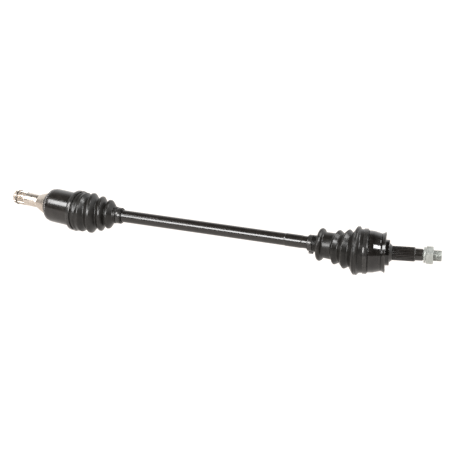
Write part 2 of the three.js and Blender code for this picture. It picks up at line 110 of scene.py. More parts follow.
# Each section as (piece, from, to, body), or (piece, from, to, body at from, body at to) where it bends.
INBOARD_SECTIONS = [
    ("boot_inboard_neck", 118, 90, "shaft"),
    ("boot_inboard_fold_1", 90, 72, "shaft", "inboard_fold_a"),
    ("boot_inboard_fold_2", 72, 54, "inboard_fold_a", "inboard_fold_b"),
    ("boot_inboard_fold_3", 54, 34.5, "inboard_fold_b", "inboard_joint"),
    ("boot_inboard_cuff", 34.5, 0, "inboard_joint"),
]
OUTBOARD_SECTIONS = [
    ("boot_outboard_neck", 118, 85.5, "shaft"),
    ("boot_outboard_barrel", 85.5, 77, "shaft"),
    ("boot_outboard_fold_1", 77, 61.5, "shaft", "outboard_fold_a"),
    ("boot_outboard_fold_2", 61.5, 43, "outboard_fold_a", "cage"),
    ("boot_outboard_fold_3", 43, 24, "cage", "outboard_fold_b"),
    ("boot_outboard_fold_4", 24, 13, "outboard_fold_b", "outboard_joint"),
    ("boot_outboard_cuff", 13, 0, "outboard_joint"),
]


# ---------------------------------------------------------------- settings
def size_property(name, default, low, high, description):
    return FloatProperty(
        name=name, default=default, min=low, max=high, description=description
    )


def colour_property(name, default, description):
    return FloatVectorProperty(
        name=name, default=default, size=3, min=0, max=1, subtype="COLOR", description=description
    )


class HalfShaftShape(PropertyGroup):
    facets: IntProperty(
        name="Facets", default=120, min=24, max=360, description="Facets round each turned piece"
    )
    edge: size_property("Edge radius", 0.45, 0.05, 2, "Rounding of turned metal edges, in millimetres")
    ridge: size_property("Ridge radius", 1.1, 0.3, 5, "Rounding of the bellows ridges, in millimetres")
    valley: size_property("Valley radius", 2.3, 0.3, 5, "Rounding of the bellows valleys, in millimetres")
    thread_pitch: size_property("Thread pitch", 1.5, 0.5, 3, "Pitch of the hub thread, in millimetres")


class HalfShaftFinish(PropertyGroup):
    paint: colour_property("Paint", (0.0085, 0.0072, 0.0062), "Gloss black paint on bar and housings")
    dust: colour_property("Dust", (0.16, 0.14, 0.12), "Dust and scuffs on paint and rubber")
    rubber: colour_property("Rubber", (0.0075, 0.0068, 0.006), "Moulded bellows rubber")
    ground_steel: colour_property("Ground steel", (0.5, 0.44, 0.38), "Bare steel of the gearbox stub")
    bearing_steel: colour_property("Bearing steel", (0.56, 0.57, 0.58), "Balls, cage, race and rollers")
    spring_steel: colour_property("Spring steel", (0.16, 0.15, 0.14), "Circlips and snap rings")
    clamp_steel: colour_property("Clamp steel", (0.022, 0.021, 0.02), "Blackened boot clamps")
    zinc: colour_property("Zinc", (0.3, 0.31, 0.29), "Plate on washer, nut and thread")


class HalfShaftStage(PropertyGroup):
    key: FloatProperty(
        name="Key light", default=64, min=0, max=500, unit="POWER", description="Power of a soft box"
    )
    floor: FloatProperty(
        name="Floor height", default=-0.1, min=-1, max=0, unit="LENGTH", description="Height of the floor"
    )
    backdrop: colour_property("Backdrop", (1, 0.95, 0.91), "Glow of the pale floor")


# ---------------------------------------------------------------- meshes
CREASE_DEGREES = 34


def eased(outline, size, steps=3, keep_ends=True):
    """The outline with its corners rounded by about size, which is a number or a function of a corner and its
    neighbours. Extra values beside the radius ride along."""
    points = [Vector(point) for point in outline]
    out = [tuple(points[0])] if keep_ends else []
    for before, corner, after in zip(points, points[1:], points[2:]):
        back = before - corner
        ahead = after - corner
        wanted = size(before, corner, after) if callable(size) else size
        reach = min(wanted, back.length * 0.45, ahead.length * 0.45)
        near = corner + back.normalized() * reach
        far = corner + ahead.normalized() * reach
        for i in range(steps + 1):
            t = i / steps
            out.append(tuple(near * (1 - t) ** 2 + corner * (2 * t * (1 - t)) + far * t * t))
    if keep_ends:
        out.append(tuple(points[-1]))
    return out


def finished_mesh(name, points, faces, crease_degrees=CREASE_DEGREES):
    """A mesh object from points in millimetres, with outward faces, smooth shading and sharp creases."""
    mesh = bpy.data.meshes.new(name)
    mesh.from_pydata([tuple(value * MM for value in point) for point in points], [], faces)
    work = bmesh.new()
    work.from_mesh(mesh)
    bmesh.ops.remove_doubles(work, verts=work.verts, dist=1e-7)
    bmesh.ops.recalc_face_normals(work, faces=work.faces)
    work.to_mesh(mesh)
    work.free()
    mesh.shade_smooth()
    mesh.set_sharp_from_angle(angle=math.radians(crease_degrees))
    piece = bpy.data.objects.new(name, mesh)
    bpy.context.scene.collection.objects.link(piece)
    return piece


def turned(name, outline, facets, closed=False, contour=None, crease_degrees=CREASE_DEGREES):
    """A piece turned about its own +X. Outline points are (station, radius, ...); a contour shapes rings."""
    points = []
    rows = []
    for station, radius, *extra in outline:
        if radius < 1e-6:
            rows.append([len(points)])
            points.append((station, 0, 0))
            continue
        row = []
        for k in range(facets):
            angle = TURN * k / facets
            reach = contour(station, radius, angle, *extra) if contour else radius
            row.append(len(points))
            points.append((station, reach * math.cos(angle), reach * math.sin(angle)))
        rows.append(row)
    pairs = list(zip(rows, rows[1:]))
    if closed:
        pairs.append((rows[-1], rows[0]))
    faces = []
    for a, b in pairs:
        for k in range(facets):
            j = (k + 1) % facets
            if len(a) == 1 and len(b) == 1:
                break
            if len(a) == 1:
                faces.append((a[0], b[j], b[k]))
            elif len(b) == 1:
                faces.append((a[k], a[j], b[0]))
            else:
                faces.append((a[k], a[j], b[j], b[k]))
    return finished_mesh(name, points, faces, crease_degrees)


def swept_strip(name, path, thickness, low, high, closed=False):
    """A flat strip of the given thickness along a path in the YZ plane, from one station to another."""
    spots = [Vector(spot) for spot in path]
    count = len(spots)
    points = []
    for i, spot in enumerate(spots):
        before = spots[i - 1] if closed or i else spot
        after = spots[(i + 1) % count] if closed or i < count - 1 else spot
        along = (after - before).normalized()
        across = Vector((-along.y, along.x)) * thickness / 2
        for station in (low, high):
            for side in (across, -across):
                points.append((station, spot.x + side.x, spot.y + side.y))
    faces = []
    for i in range(count if closed else count - 1):
        a, b = 4 * i, 4 * ((i + 1) % count)
        faces += [(a, a + 1, b + 1, b), (a + 3, a + 2, b + 2, b + 3)]
        faces += [(a + 2, a, b, b + 2), (a + 1, a + 3, b + 3, b + 1)]
    if not closed:
        last = 4 * (count - 1)
        faces += [(0, 2, 3, 1), (last, last + 1, last + 3, last + 2)]
    return finished_mesh(name, points, faces)


def bevelled(piece, width, segments=2):
    """Rounds the sharp edges of a piece with an applied bevel."""
    modifier = piece.modifiers.new("edges", "BEVEL")
    modifier.width = width * MM
    modifier.segments = segments
    modifier.limit_method = "ANGLE"
    modifier.angle_limit = math.radians(40)
    modifier.harden_normals = False
    applied = bpy.data.meshes.new_from_object(
        piece.evaluated_get(bpy.context.evaluated_depsgraph_get())
    )
    piece.modifiers.clear()
    piece.data = applied
    applied.shade_smooth()
    applied.set_sharp_from_angle(angle=math.radians(CREASE_DEGREES))


def marked(piece, name, mask):
    """Stores a value per point, given by mask(station, radius) in millimetres, for the material to read."""
    attribute = piece.data.attributes.new(name, "FLOAT", "POINT")
    values = [
        mask(point.co.x / MM, math.hypot(point.co.y, point.co.z) / MM) for point in piece.data.vertices
    ]
    attribute.data.foreach_set("value", values)


def fitted(piece, place, body, material, replaces):
    """Puts a piece at its place, on its body, with its material, and hides the nodes it stands for."""
    piece.matrix_world = place
    piece.data.materials.clear()
    piece.data.materials.append(material)
    if body:
        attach(piece, body)
    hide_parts(*replaces)


# ---------------------------------------------------------------- contours round the axis
def teeth_contour(teeth, land=0.4, flank=0.26):
    """Straight spline teeth: a ring's third value is the depth of its valleys."""
    def contour(_station, radius, angle, depth):
        across = (angle / TURN * teeth) % 1
        if across < flank:
            height = across / flank
        elif across < flank + land:
            height = 1
        elif across < 2 * flank + land:
            height = (2 * flank + land - across) / flank
        else:
            height = 0
        return radius - depth * (1 - height)

    return contour


def thread_contour(pitch):
    """A single right-hand thread: a ring's third value is its depth."""
    def contour(station, radius, angle, depth):
        across = (station / pitch - angle / TURN) % 1
        return radius - depth * min(1, max(0, abs(2 * across - 1) * 1.25 - 0.125))

    return contour


def track_contour(half_width, reach):
    """Three straight tracks, wide open to the axis; a ring's third value switches them on."""
    def contour(_station, radius, angle, tracks):
        if not tracks:
            return radius
        turn = (angle - TURN / 4) % (TURN / 3)
        turn = min(turn, TURN / 3 - turn)
        sine = math.sin(turn)
        slot = reach if sine * reach <= half_width else half_width / sine
        return max(radius, slot)

    return contour


def groove_contour(ball_circle, groove, count):
    """Ball grooves round the joint centre. A ring's third value is 1 for outward cuts, -1 for inward."""
    def contour(station, radius, angle, kind):
        if not kind:
            return radius
        turn = angle % (TURN / count)
        turn = min(turn, TURN / count - turn)

        def inside(reach):
            off_plane = reach * math.sin(turn)
            in_plane = math.hypot(station, reach * math.cos(turn))
            return (in_plane - ball_circle) ** 2 + off_plane ** 2 < groove ** 2

        if not inside(radius):
            return radius
        low, high = radius, radius + kind * 2 * groove
        for _ in range(14):
            middle = (low + high) / 2
            low, high = (middle, high) if inside(middle) else (low, middle)
        return low

    return contour


def hexagon_contour(across_flats):
    """Six flats: no ring stands out further than the hexagon."""
    def contour(_station, radius, angle, bored):
        if bored:
            return radius
        turn = (angle + TURN / 12) % (TURN / 6) - TURN / 12
        return min(radius, across_flats / 2 / math.cos(turn))

    return contour


# ---------------------------------------------------------------- shader groups and materials
def link(tree, source, target):
    tree.links.new(source, target)


def math_node(tree, operation, first, second, third=None):
    """A math node; each input is a number or a socket."""
    node = tree.nodes.new("ShaderNodeMath")
    node.operation = operation
    for socket, value in zip(node.inputs, (first, second, third)):
        if isinstance(value, bpy.types.NodeSocket):
            link(tree, value, socket)
        elif value is not None:
            socket.default_value = value
    return node.outputs[0]


def mix_colour(tree, factor, first, second):
    """A colour mix; each input is a value, a colour or a socket."""
    node = tree.nodes.new("ShaderNodeMix")
    node.data_type = "RGBA"
    sockets = (node.inputs[0], node.inputs[6], node.inputs[7])
    for socket, value in zip(sockets, (factor, first, second)):
        if isinstance(value, bpy.types.NodeSocket):
            link(tree, value, socket)
        elif isinstance(value, (int, float)):
            socket.default_value = value
        else:
            socket.default_value = (*value, 1)
    return node.outputs[2]


def map_range(tree, value, low, high, to_low=0.0, to_high=1.0):
    node = tree.nodes.new("ShaderNodeMapRange")
    node.interpolation_type = "SMOOTHSTEP"
    link(tree, value, node.inputs["Value"])
    for name, number in zip(("From Min", "From Max", "To Min", "To Max"), (low, high, to_low, to_high)):
        node.inputs[name].default_value = number
    return node.outputs["Result"]


def noise_node(tree, position, scale, detail=3.0, dimensions="3D"):
    node = tree.nodes.new("ShaderNodeTexNoise")
    node.noise_dimensions = dimensions
    node.inputs["Detail"].default_value = detail
    link(tree, position, node.inputs["W" if dimensions == "1D" else "Vector"])
    if isinstance(scale, bpy.types.NodeSocket):
        link(tree, scale, node.inputs["Scale"])
    else:
        node.inputs["Scale"].default_value = scale
    return node.outputs["Fac"]


def new_group(name, inputs, outputs):
    """An empty shader group with float sockets, as its tree, its input node and its output node."""
    tree = bpy.data.node_groups.new(name, "ShaderNodeTree")
    for socket in inputs:
        tree.interface.new_socket(name=socket, in_out="INPUT", socket_type="NodeSocketFloat")
    for socket in outputs:
        tree.interface.new_socket(name=socket, in_out="OUTPUT", socket_type="NodeSocketFloat")
    return tree, tree.nodes.new("NodeGroupInput"), tree.nodes.new("NodeGroupOutput")


def surface_grain_group():
    """Uneven finish: a broad cloud with fine grain on it."""
    tree, given, made = new_group("Surface grain", ["Scale"], ["Grain", "Fine"])
    place = tree.nodes.new("ShaderNodeTexCoord").outputs["Object"]
    broad = noise_node(tree, place, given.outputs["Scale"])
    fine_scale = math_node(tree, "MULTIPLY", given.outputs["Scale"], 7.0)
    fine = noise_node(tree, place, fine_scale, 2.0)
    both = math_node(tree, "MULTIPLY_ADD", fine, 0.35, math_node(tree, "MULTIPLY", broad, 0.65))
    link(tree, map_range(tree, both, 0.32, 0.68), made.inputs["Grain"])
    link(tree, fine, made.inputs["Fine"])
    return tree


def dust_specks_group():
    """Scattered specks of dust and small chips."""
    tree, given, made = new_group("Dust specks", ["Scale", "Amount"], ["Mask"])
    place = tree.nodes.new("ShaderNodeTexCoord").outputs["Object"]
    cells = tree.nodes.new("ShaderNodeTexVoronoi")
    link(tree, place, cells.inputs["Vector"])
    link(tree, given.outputs["Scale"], cells.inputs["Scale"])
    spots = map_range(tree, cells.outputs["Distance"], 0.05, 0.16, 1.0, 0.0)
    patches = map_range(tree, noise_node(tree, place, 45.0), 0.5, 0.66)
    mask = math_node(tree, "MULTIPLY", math_node(tree, "MULTIPLY", spots, patches), given.outputs["Amount"])
    link(tree, mask, made.inputs["Mask"])
    return tree


def edge_scuffs_and_highlight_group():
    """Broken lighter marks along the edges that a piece marks: rubbed edges on most finishes, painted highlight on
    the cup's ring groove and the bellows crests.
    """
    tree, given, made = new_group("Edge wear", ["Edge", "Scale", "Amount"], ["Mask"])
    place = tree.nodes.new("ShaderNodeTexCoord").outputs["Object"]
    broken = map_range(tree, noise_node(tree, place, given.outputs["Scale"], 5.0), 0.42, 0.6)
    scuffed_and_highlit = math_node(tree, "MULTIPLY", given.outputs["Edge"], broken)
    link(tree, math_node(tree, "MULTIPLY", scuffed_and_highlit, given.outputs["Amount"]), made.inputs["Mask"])
    return tree


def turning_lines_group():
    """Fine rings left by turning and grinding, square to the piece's own axis."""
    tree, given, made = new_group("Turning lines", ["Scale"], ["Lines"])
    apart = tree.nodes.new("ShaderNodeSeparateXYZ")
    link(tree, tree.nodes.new("ShaderNodeTexCoord").outputs["Object"], apart.inputs[0])
    along = math_node(tree, "MULTIPLY", apart.outputs["X"], given.outputs["Scale"])
    link(tree, noise_node(tree, along, 1.0, 4.0, "1D"), made.inputs["Lines"])
    return tree


GROUP_MAKERS = {
    "Surface grain": surface_grain_group,
    "Dust specks": dust_specks_group,
    "Edge wear": edge_scuffs_and_highlight_group,
    "Turning lines": turning_lines_group,
}


def placed_group(tree, name, **values):
    """The named group as a node of this material, built on first use."""
    node = tree.nodes.new("ShaderNodeGroup")
    node.node_tree = bpy.data.node_groups.get(name) or GROUP_MAKERS[name]()
    for socket, value in values.items():
        if isinstance(value, bpy.types.NodeSocket):
            link(tree, value, node.inputs[socket])
        else:
            node.inputs[socket].default_value = value
    return node


LINE_SCALE = 2600.0
SPECK_SCALE = 520.0
SCUFF_AND_HIGHLIGHT_SCALE = 420.0
BUMP_STRENGTH = 0.6
BUMP_DISTANCE = 0.0003


def surface_material(
    name, colour, roughness, metallic=0.0, spread=0.06, grain=260.0, contrast=0.2, bump=0.02,
    lines=0.0, specks=0.0, dust=(0.2, 0.18, 0.16), scuffs_and_highlight=0.0, scuffed_and_highlit=(0.1, 0.1, 0.1),
    specular=0.5,
):
    """A finish with uneven colour and gloss, specks, lighter marked edges (rubbing, and painted highlight on the
    cup paint and the bellows rubber) and, where asked, turning lines.
    """
    made = bpy.data.materials.get(name)
    if made:
        return made
    made = bpy.data.materials.new(name)
    made.use_nodes = True
    made.diffuse_color = (*colour, 1)
    tree = made.node_tree
    shader = next(node for node in tree.nodes if node.type == "BSDF_PRINCIPLED")
    grained = placed_group(tree, "Surface grain", Scale=grain)
    dark = [channel * (1 - contrast) for channel in colour]
    light = [min(1, channel * (1 + contrast)) for channel in colour]
    tone = mix_colour(tree, grained.outputs["Grain"], dark, light)
    rough = math_node(tree, "MULTIPLY_ADD", grained.outputs["Grain"], 2 * spread, roughness - spread)
    height = math_node(tree, "MULTIPLY", grained.outputs["Fine"], bump)
    if lines:
        ringed = placed_group(tree, "Turning lines", Scale=LINE_SCALE).outputs["Lines"]
        tone = mix_colour(tree, math_node(tree, "MULTIPLY", ringed, lines), tone, dark)
        rough = math_node(tree, "MULTIPLY_ADD", ringed, 0.3 * lines, rough)
        height = math_node(tree, "MULTIPLY_ADD", ringed, 0.5 * lines * bump, height)
    if specks:
        mask = placed_group(tree, "Dust specks", Scale=SPECK_SCALE, Amount=specks).outputs["Mask"]
        tone = mix_colour(tree, mask, tone, dust)
        rough = math_node(tree, "MULTIPLY_ADD", mask, 0.3, rough)
    # Lighter marked edges: rubbing on most finishes, painted highlight on the cup paint and the bellows rubber.
    if scuffs_and_highlight:
        edge = tree.nodes.new("ShaderNodeAttribute")
        edge.attribute_name = "edge"
        mask = placed_group(
            tree, "Edge wear", Edge=edge.outputs["Fac"], Scale=SCUFF_AND_HIGHLIGHT_SCALE, Amount=scuffs_and_highlight
        ).outputs["Mask"]
        tone = mix_colour(tree, mask, tone, scuffed_and_highlit)
        rough = math_node(tree, "MULTIPLY_ADD", mask, -0.12, rough)
    link(tree, tone, shader.inputs["Base Color"])
    link(tree, rough, shader.inputs["Roughness"])
    raised = tree.nodes.new("ShaderNodeBump")
    raised.inputs["Strength"].default_value = BUMP_STRENGTH
    raised.inputs["Distance"].default_value = BUMP_DISTANCE
    link(tree, height, raised.inputs["Height"])
    link(tree, raised.outputs["Normal"], shader.inputs["Normal"])
    shader.inputs["Metallic"].default_value = metallic
    shader.inputs["Specular IOR Level"].default_value = specular
    return made


def look():
    return bpy.context.scene.half_shaft_finish


def gloss_paint():
    return surface_material(
        "gloss black paint", tuple(look().paint), 0.2, spread=0.02, grain=90.0, contrast=0.3,
        bump=0.04, specks=0.2, dust=tuple(look().dust), scuffs_and_highlight=0.35, scuffed_and_highlit=(0.05, 0.045, 0.04),
    )


# The cup paint's near-white edge colour is painted glints, laid as broken dots along the marked ring groove.
def cup_paint():
    return surface_material(
        "gloss cup paint", tuple(look().paint), 0.2, spread=0.035, grain=70.0, contrast=0.3,
        bump=0.1, specks=0.5, dust=tuple(look().dust), scuffs_and_highlight=1.0, scuffed_and_highlit=(0.6, 0.57, 0.55),
    )


def polished_paint():
    deep = tuple(0.5 * channel for channel in look().paint)
    return surface_material(
        "polished black paint", deep, 0.13, spread=0.02, grain=100.0, contrast=0.3,
        bump=0.03, specks=0.15, dust=tuple(look().dust), scuffs_and_highlight=0.4, scuffed_and_highlit=(0.08, 0.074, 0.068),
    )


# The bellows rubber lightens the crests that the edge attribute marks: partly rubbing, partly painted sheen.
def bellows_rubber():
    return surface_material(
        "bellows rubber", tuple(look().rubber), 0.33, spread=0.06, grain=120.0, contrast=0.3,
        bump=0.12, specks=0.25, dust=tuple(look().dust), scuffs_and_highlight=0.5, scuffed_and_highlit=(0.03, 0.028, 0.026),
        specular=0.3,
    )


def ground_steel():
    return surface_material(
        "ground stub steel", tuple(look().ground_steel), 0.3, metallic=1.0, spread=0.05, grain=120.0,
        contrast=0.07, bump=0.05, lines=0.35, scuffs_and_highlight=0.5, scuffed_and_highlit=(0.95, 0.9, 0.84),
    )


def bearing_steel():
    return surface_material(
        "bearing steel", tuple(look().bearing_steel), 0.2, metallic=1.0, spread=0.05, grain=120.0,
        contrast=0.1, bump=0.04, lines=0.2,
    )


def spring_steel():
    return surface_material(
        "spring steel", tuple(look().spring_steel), 0.36, metallic=1.0, spread=0.08, grain=240.0,
        contrast=0.2, bump=0.15,
    )


def clamp_steel():
    return surface_material(
        "blackened clamp steel", tuple(look().clamp_steel), 0.2, metallic=0.4, spread=0.05, grain=160.0,
        contrast=0.25, bump=0.05, lines=0.15, scuffs_and_highlight=0.3, scuffed_and_highlit=(0.1, 0.095, 0.09),
    )


def zinc_plate():
    return surface_material(
        "zinc plate", tuple(look().zinc), 0.42, metallic=0.6, spread=0.08, grain=240.0,
        contrast=0.12, bump=0.25, lines=0.15, scuffs_and_highlight=0.5, scuffed_and_highlit=(0.5, 0.51, 0.49),
    )


# ---------------------------------------------------------------- bellows
BELLOWS_FACETS = 96
# Where each middle line bends, as stations from the joint centre.
INBOARD_BEND_SPAN = (33, 98)
OUTBOARD_BEND_SPAN = (-86, -15)


def middle_line(from_station, from_angle, to_station, to_angle):
    """The bent middle line of a bellows: station to (centre x, centre y, heading), in millimetres."""
    def end(station, angle):
        along = Vector((math.cos(angle), math.sin(angle)))
        return station, angle, along, along * station

    ends = [end(from_station, from_angle), end(to_station, to_angle)]
    span = to_station - from_station

    def spot(station):
        for edge, beyond in zip(ends, (station <= from_station, station >= to_station)):
            if beyond:
                centre = edge[2] * station
                return centre.x, centre.y, edge[1]
        t = (station - from_station) / span
        (_, _, run_in, start), (_, _, run_out, stop) = ends
        centre = (
            start * (2 * t ** 3 - 3 * t ** 2 + 1) + stop * (3 * t ** 2 - 2 * t ** 3)
            + run_in * (span * (t ** 3 - 2 * t ** 2 + t)) + run_out * (span * (t ** 3 - t ** 2))
        )
        slope = (
            (stop - start) * (6 * t - 6 * t ** 2)
            + run_in * (span * (3 * t ** 2 - 4 * t + 1)) + run_out * (span * (3 * t ** 2 - 2 * t))
        )
        return centre.x, centre.y, math.atan2(slope.y, slope.x)

    return spot


def sampled(curve, step=0.6):
    """The rounded curve with no gap between points longer than step."""
    out = [curve[0]]
    for a, b in zip(curve, curve[1:]):
        count = max(1, math.ceil(math.dist(a, b) / step))
        out += [tuple(Vector(a).lerp(Vector(b), (i + 1) / count)) for i in range(count)]
    return out


def wall_curve(outline, column, ridge, valley):
    """One wall of a bellows as rounded (distance, radius, normal x, normal radius, crest) points."""
    def rounding(before, corner, after):
        return ridge if corner.y > (before.y + after.y) / 2 else valley

    curve = sampled(eased([(row[0], row[column]) for row in outline], rounding, steps=5))
    facing = 1 if column == 1 else -1
    out = []
    for i, (distance, radius) in enumerate(curve):
        before = curve[max(0, i - 1)]
        after = curve[min(len(curve) - 1, i + 1)]
        run = Vector((after[0] - before[0], after[1] - before[1])).normalized()
        normal = Vector((run.y, -run.x)) * facing
        wide = [curve[max(0, i - 5)], curve[min(len(curve) - 1, i + 5)]]
        bulge = radius - (wide[0][1] + wide[1][1]) / 2
        out.append((distance, radius, normal.x, normal.y, min(1, max(0, bulge / 0.9))))
    return out


def cut_between(curve, start, stop):
    """The stretch of a wall from one distance down to another, cut exactly at both."""
    out = []
    for a, b in zip(curve, curve[1:]):
        for limit in (start, stop):
            if a[0] > limit >= b[0] and limit < curve[0][0]:
                share = (a[0] - limit) / (a[0] - b[0])
                out.append(tuple(p + (q - p) * share for p, q in zip(a, b)))
        if stop < b[0] < start:
            out.append(b)
    if start >= curve[0][0]:
        out.insert(0, curve[0])
    if stop <= curve[-1][0] and (not out or out[-1][0] > curve[-1][0]):
        out.append(curve[-1])
    return sorted(out, key=lambda row: -row[0])


def bellows_section(section, outline, side, centre, spot, shape):
    """One section of a bellows. It is made straight, then bent to its rest line."""
    name, start, stop, *bodies = section
    facets = BELLOWS_FACETS
    outer = cut_between(wall_curve(outline, 1, shape.ridge, shape.valley), start, stop)
    inner = cut_between(wall_curve(outline, 2, shape.ridge, shape.valley), start, stop)[::-1]
    rings = [*outer, *inner]
    points, normals, crests, faces = [], [], [], []
    for distance, radius, normal_x, normal_r, crest in rings:
        for k in range(facets):
            angle = TURN * k / facets
            points.append(Vector((side * distance, radius * math.cos(angle), radius * math.sin(angle))))
            normals.append(Vector((side * normal_x, normal_r * math.cos(angle), normal_r * math.sin(angle))))
            crests.append(crest)
    for i in range(len(rings)):
        a, b = i * facets, (i + 1) % len(rings) * facets
        for k in range(facets):
            j = (k + 1) % facets
            faces.append((a + k, a + j, b + j, b + k))
    mesh = bpy.data.meshes.new(name + "_skin")
    mesh.from_pydata([centre + point * MM for point in points], [], faces)
    work = bmesh.new()
    work.from_mesh(mesh)
    bmesh.ops.recalc_face_normals(work, faces=work.faces)
    work.to_mesh(mesh)
    work.free()
    mesh.shade_smooth()
    piece = bpy.data.objects.new(name + "_skin", mesh)
    bpy.context.scene.collection.objects.link(piece)
    mesh.materials.append(bellows_rubber())
    # How far each point stands out on a crest, for the rubber's lighter crests: partly rubbing, partly painted
    # sheen.
    edge = mesh.attributes.new("edge", "FLOAT", "POINT")
    edge.data.foreach_set("value", crests)
    if len(bodies) == 2:
        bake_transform(piece)
    bent = []
    for vertex, normal in zip(mesh.vertices, normals):
        point = (vertex.co - centre) / MM
        x, y, heading = spot(point.x)
        sine, cosine = math.sin(heading), math.cos(heading)
        vertex.co = centre + Vector((x - point.y * sine, y + point.y * cosine, point.z)) * MM
        bent.append((normal.x * cosine - normal.y * sine, normal.x * sine + normal.y * cosine, normal.z))
    corners = [bent[corner.vertex_index] for corner in mesh.loops]
    for seam in (len(outer) - 1, len(rings) - 1):
        for face in mesh.polygons[seam * facets:(seam + 1) * facets]:
            for corner in face.loop_indices:
                corners[corner] = tuple(face.normal)
    mesh.normals_split_custom_set(corners)
    if len(bodies) == 1:
        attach(piece, bodies[0])
    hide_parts(name)


def circle_path(radius, start, stop, steps):
    """Points along an arc, as (y, z)."""
    angles = [start + (stop - start) * i / steps for i in range(steps + 1)]
    return [(radius * math.cos(angle), radius * math.sin(angle)) for angle in angles]


def ear_clamp(node, low, high, inner, thickness, ear_degrees, place, body):
    """A steel band pulled tight by one pinched ear."""
    middle = inner + thickness / 2
    facing = math.radians(ear_degrees)
    gap = math.asin(3.2 / middle)
    path = circle_path(middle, facing + gap, facing + TURN - gap, 110)
    radial = Vector((math.cos(facing), math.sin(facing)))
    across = Vector((-radial.y, radial.x))
    ear = [
        (-2.5, 0.55), (-2, 1.3), (-1.9, 2.1), (-2.4, 3.2), (-2.8, 4.2), (-2.5, 5), (-1.5, 5.35), (0, 5),
        (1.5, 5.35), (2.5, 5), (2.8, 4.2), (2.4, 3.2), (1.9, 2.1), (2, 1.3), (2.5, 0.55),
    ]
    path += [tuple(across * u + radial * (middle + v)) for u, v in ear]
    band = swept_strip(node + "_band", path, thickness * 0.92, low, high, closed=True)
    bevelled(band, 0.22)
    rim = (low + high) / 2
    marked(band, "edge", lambda station, _radius: max(0, 1 - ((high - low) / 2 - abs(station - rim)) / 0.5))
    fitted(band, place, body, clamp_steel(), [node])


# ---------------------------------------------------------------- shaft bar
BAR_TEETH = {"inboard": 18, "outboard": 20}
THICK_MIDDLE = 157
THICK_HALF = 16
BAR_OUTLINE = [
    (-314, 0, 0), (-314, 8.2, 0), (-313.2, 9, 0), (-312.4, 9, 0), (-312.4, 8.6, 0), (-310.6, 8.6, 0),
    (-310.6, 10, 0.8), (-289.9, 10, 0.8), (-289.2, 9.2, 0), (-289, 10.9, 0), (-270, 10.9, 0),
    (-267, 11.5, 0), (140, 11.5, 0), (142, 11.95, 0), (172, 11.95, 0), (174, 11.5, 0), (288.8, 11.5, 0),
    (289.2, 10.8, 0.8), (310.6, 10.8, 0.8), (310.6, 9.2, 0), (312.4, 9.2, 0), (312.4, 9.8, 0),
    (313.2, 9.8, 0), (314, 9, 0), (314, 0, 0),
]


def build_bar(shape):
    inboard = teeth_contour(BAR_TEETH["inboard"])
    outboard = teeth_contour(BAR_TEETH["outboard"])

    def splines(station, radius, angle, depth):
        return (inboard if station < 0 else outboard)(station, radius, angle, depth)

    bar = turned("shaft_bar_skin", eased(BAR_OUTLINE, shape.edge), 3 * shape.facets, contour=splines)
    def at_step(station, _radius):
        return 1 if abs(abs(station - THICK_MIDDLE) - THICK_HALF) < 1.4 else 0

    marked(bar, "edge", at_step)
    fitted(bar, Matrix.Identity(4), "shaft", gloss_paint(), ["shaft_bar"])


# ---------------------------------------------------------------- inboard housing and stub
PAINT_LINE = -43
CUP_OUTLINE = [
    (PAINT_LINE, 0, 0), (PAINT_LINE, 22.5, 0), (-40.5, 25, 0), (-37, 26.2, 0), (-37, 28.4, 0),
    (-34.4, 30.8, 0), (-33.7, 30.8, 0), (-33.5, 30.3, 0), (-32.9, 30.3, 0), (-32.7, 31.1, 0),
    (-29.5, 32, 0), (-25, 32.3, 0), (19, 32.3, 0), (19.4, 32, 0), (32, 32, 0), (32, 29.3, 1),
    (30.4, 28.4, 1), (30.4, 30.4, 1), (28.2, 30.4, 1), (28.2, 27.7, 1), (11, 21.2, 1), (-33.2, 21.2, 1),
    (-33.2, 0, 0),
]
STUB_OUTLINE = [
    (-120.5, 0, 0), (-123.5, 2.6, 0), (-123.5, 10.2, 0.2), (-120.9, 13.1, 1.4), (-115.9, 13.1, 1.4),
    (-115.8, 12, 0.3), (-113.6, 12, 0.3), (-113.5, 13.1, 1.4), (-96.9, 13.1, 1.4), (-96, 12.6, 0),
    (-70, 12.2, 0), (-68.5, 11.2, 0), (-67, 11.2, 0), (-66, 13.4, 0), (-55, 17.8, 0),
    (PAINT_LINE, 22.5, 0), (PAINT_LINE, 0, 0),
]
INBOARD_STUB_TEETH = 24
TRACK_HALF_WIDTH = 17.3
TRACK_REACH = 29.3


def near_any(stations, reach):
    """A mask that is 1 at each station and falls to 0 over reach, in millimetres."""
    return lambda station, _radius: max(0, 1 - min(abs(station - spot) for spot in stations) / reach)


def build_inboard_housing(shape):
    cup = turned(
        "inboard_cup_skin", eased(CUP_OUTLINE, shape.edge), 2 * shape.facets, closed=True,
        contour=track_contour(TRACK_HALF_WIDTH, TRACK_REACH),
    )
    # Marks the ring groove near the back of the cup, where the cup paint lays painted glints.
    marked(cup, "edge", near_any((-33.2,), 0.6))
    fitted(cup, INBOARD_CUP, "inboard_joint", cup_paint(), ["inboard_housing"])
    stub = turned(
        "inboard_stub_skin", eased(STUB_OUTLINE, shape.edge), 3 * shape.facets,
        contour=teeth_contour(INBOARD_STUB_TEETH),
    )
    marked(stub, "edge", near_any((-123.5, -120.9, -96, -69), 1.5))
    fitted(stub, INBOARD_CUP, "inboard_joint", ground_steel(), ["inboard_housing"])
    split_ring("stub_snap_ring", -115.6, -113.8, 12.3, 14.1, 45, INBOARD_CUP, "inboard_joint")
    split_ring("housing_stop_ring", 28.6, 30, 27.7, 30, 30, INBOARD_CUP, "inboard_joint")


def split_ring(node, low, high, inner, outer, opening, place, body):
    """A spring ring with an opening at +Y, from one station to another."""
    middle = (inner + outer) / 2
    half = math.radians(opening / 2)
    path = circle_path(middle, half, TURN - half, 72)
    ring = swept_strip(node + "_skin", path, outer - inner, low, high)
    bevelled(ring, 0.25)
    fitted(ring, place, body, spring_steel(), [node])


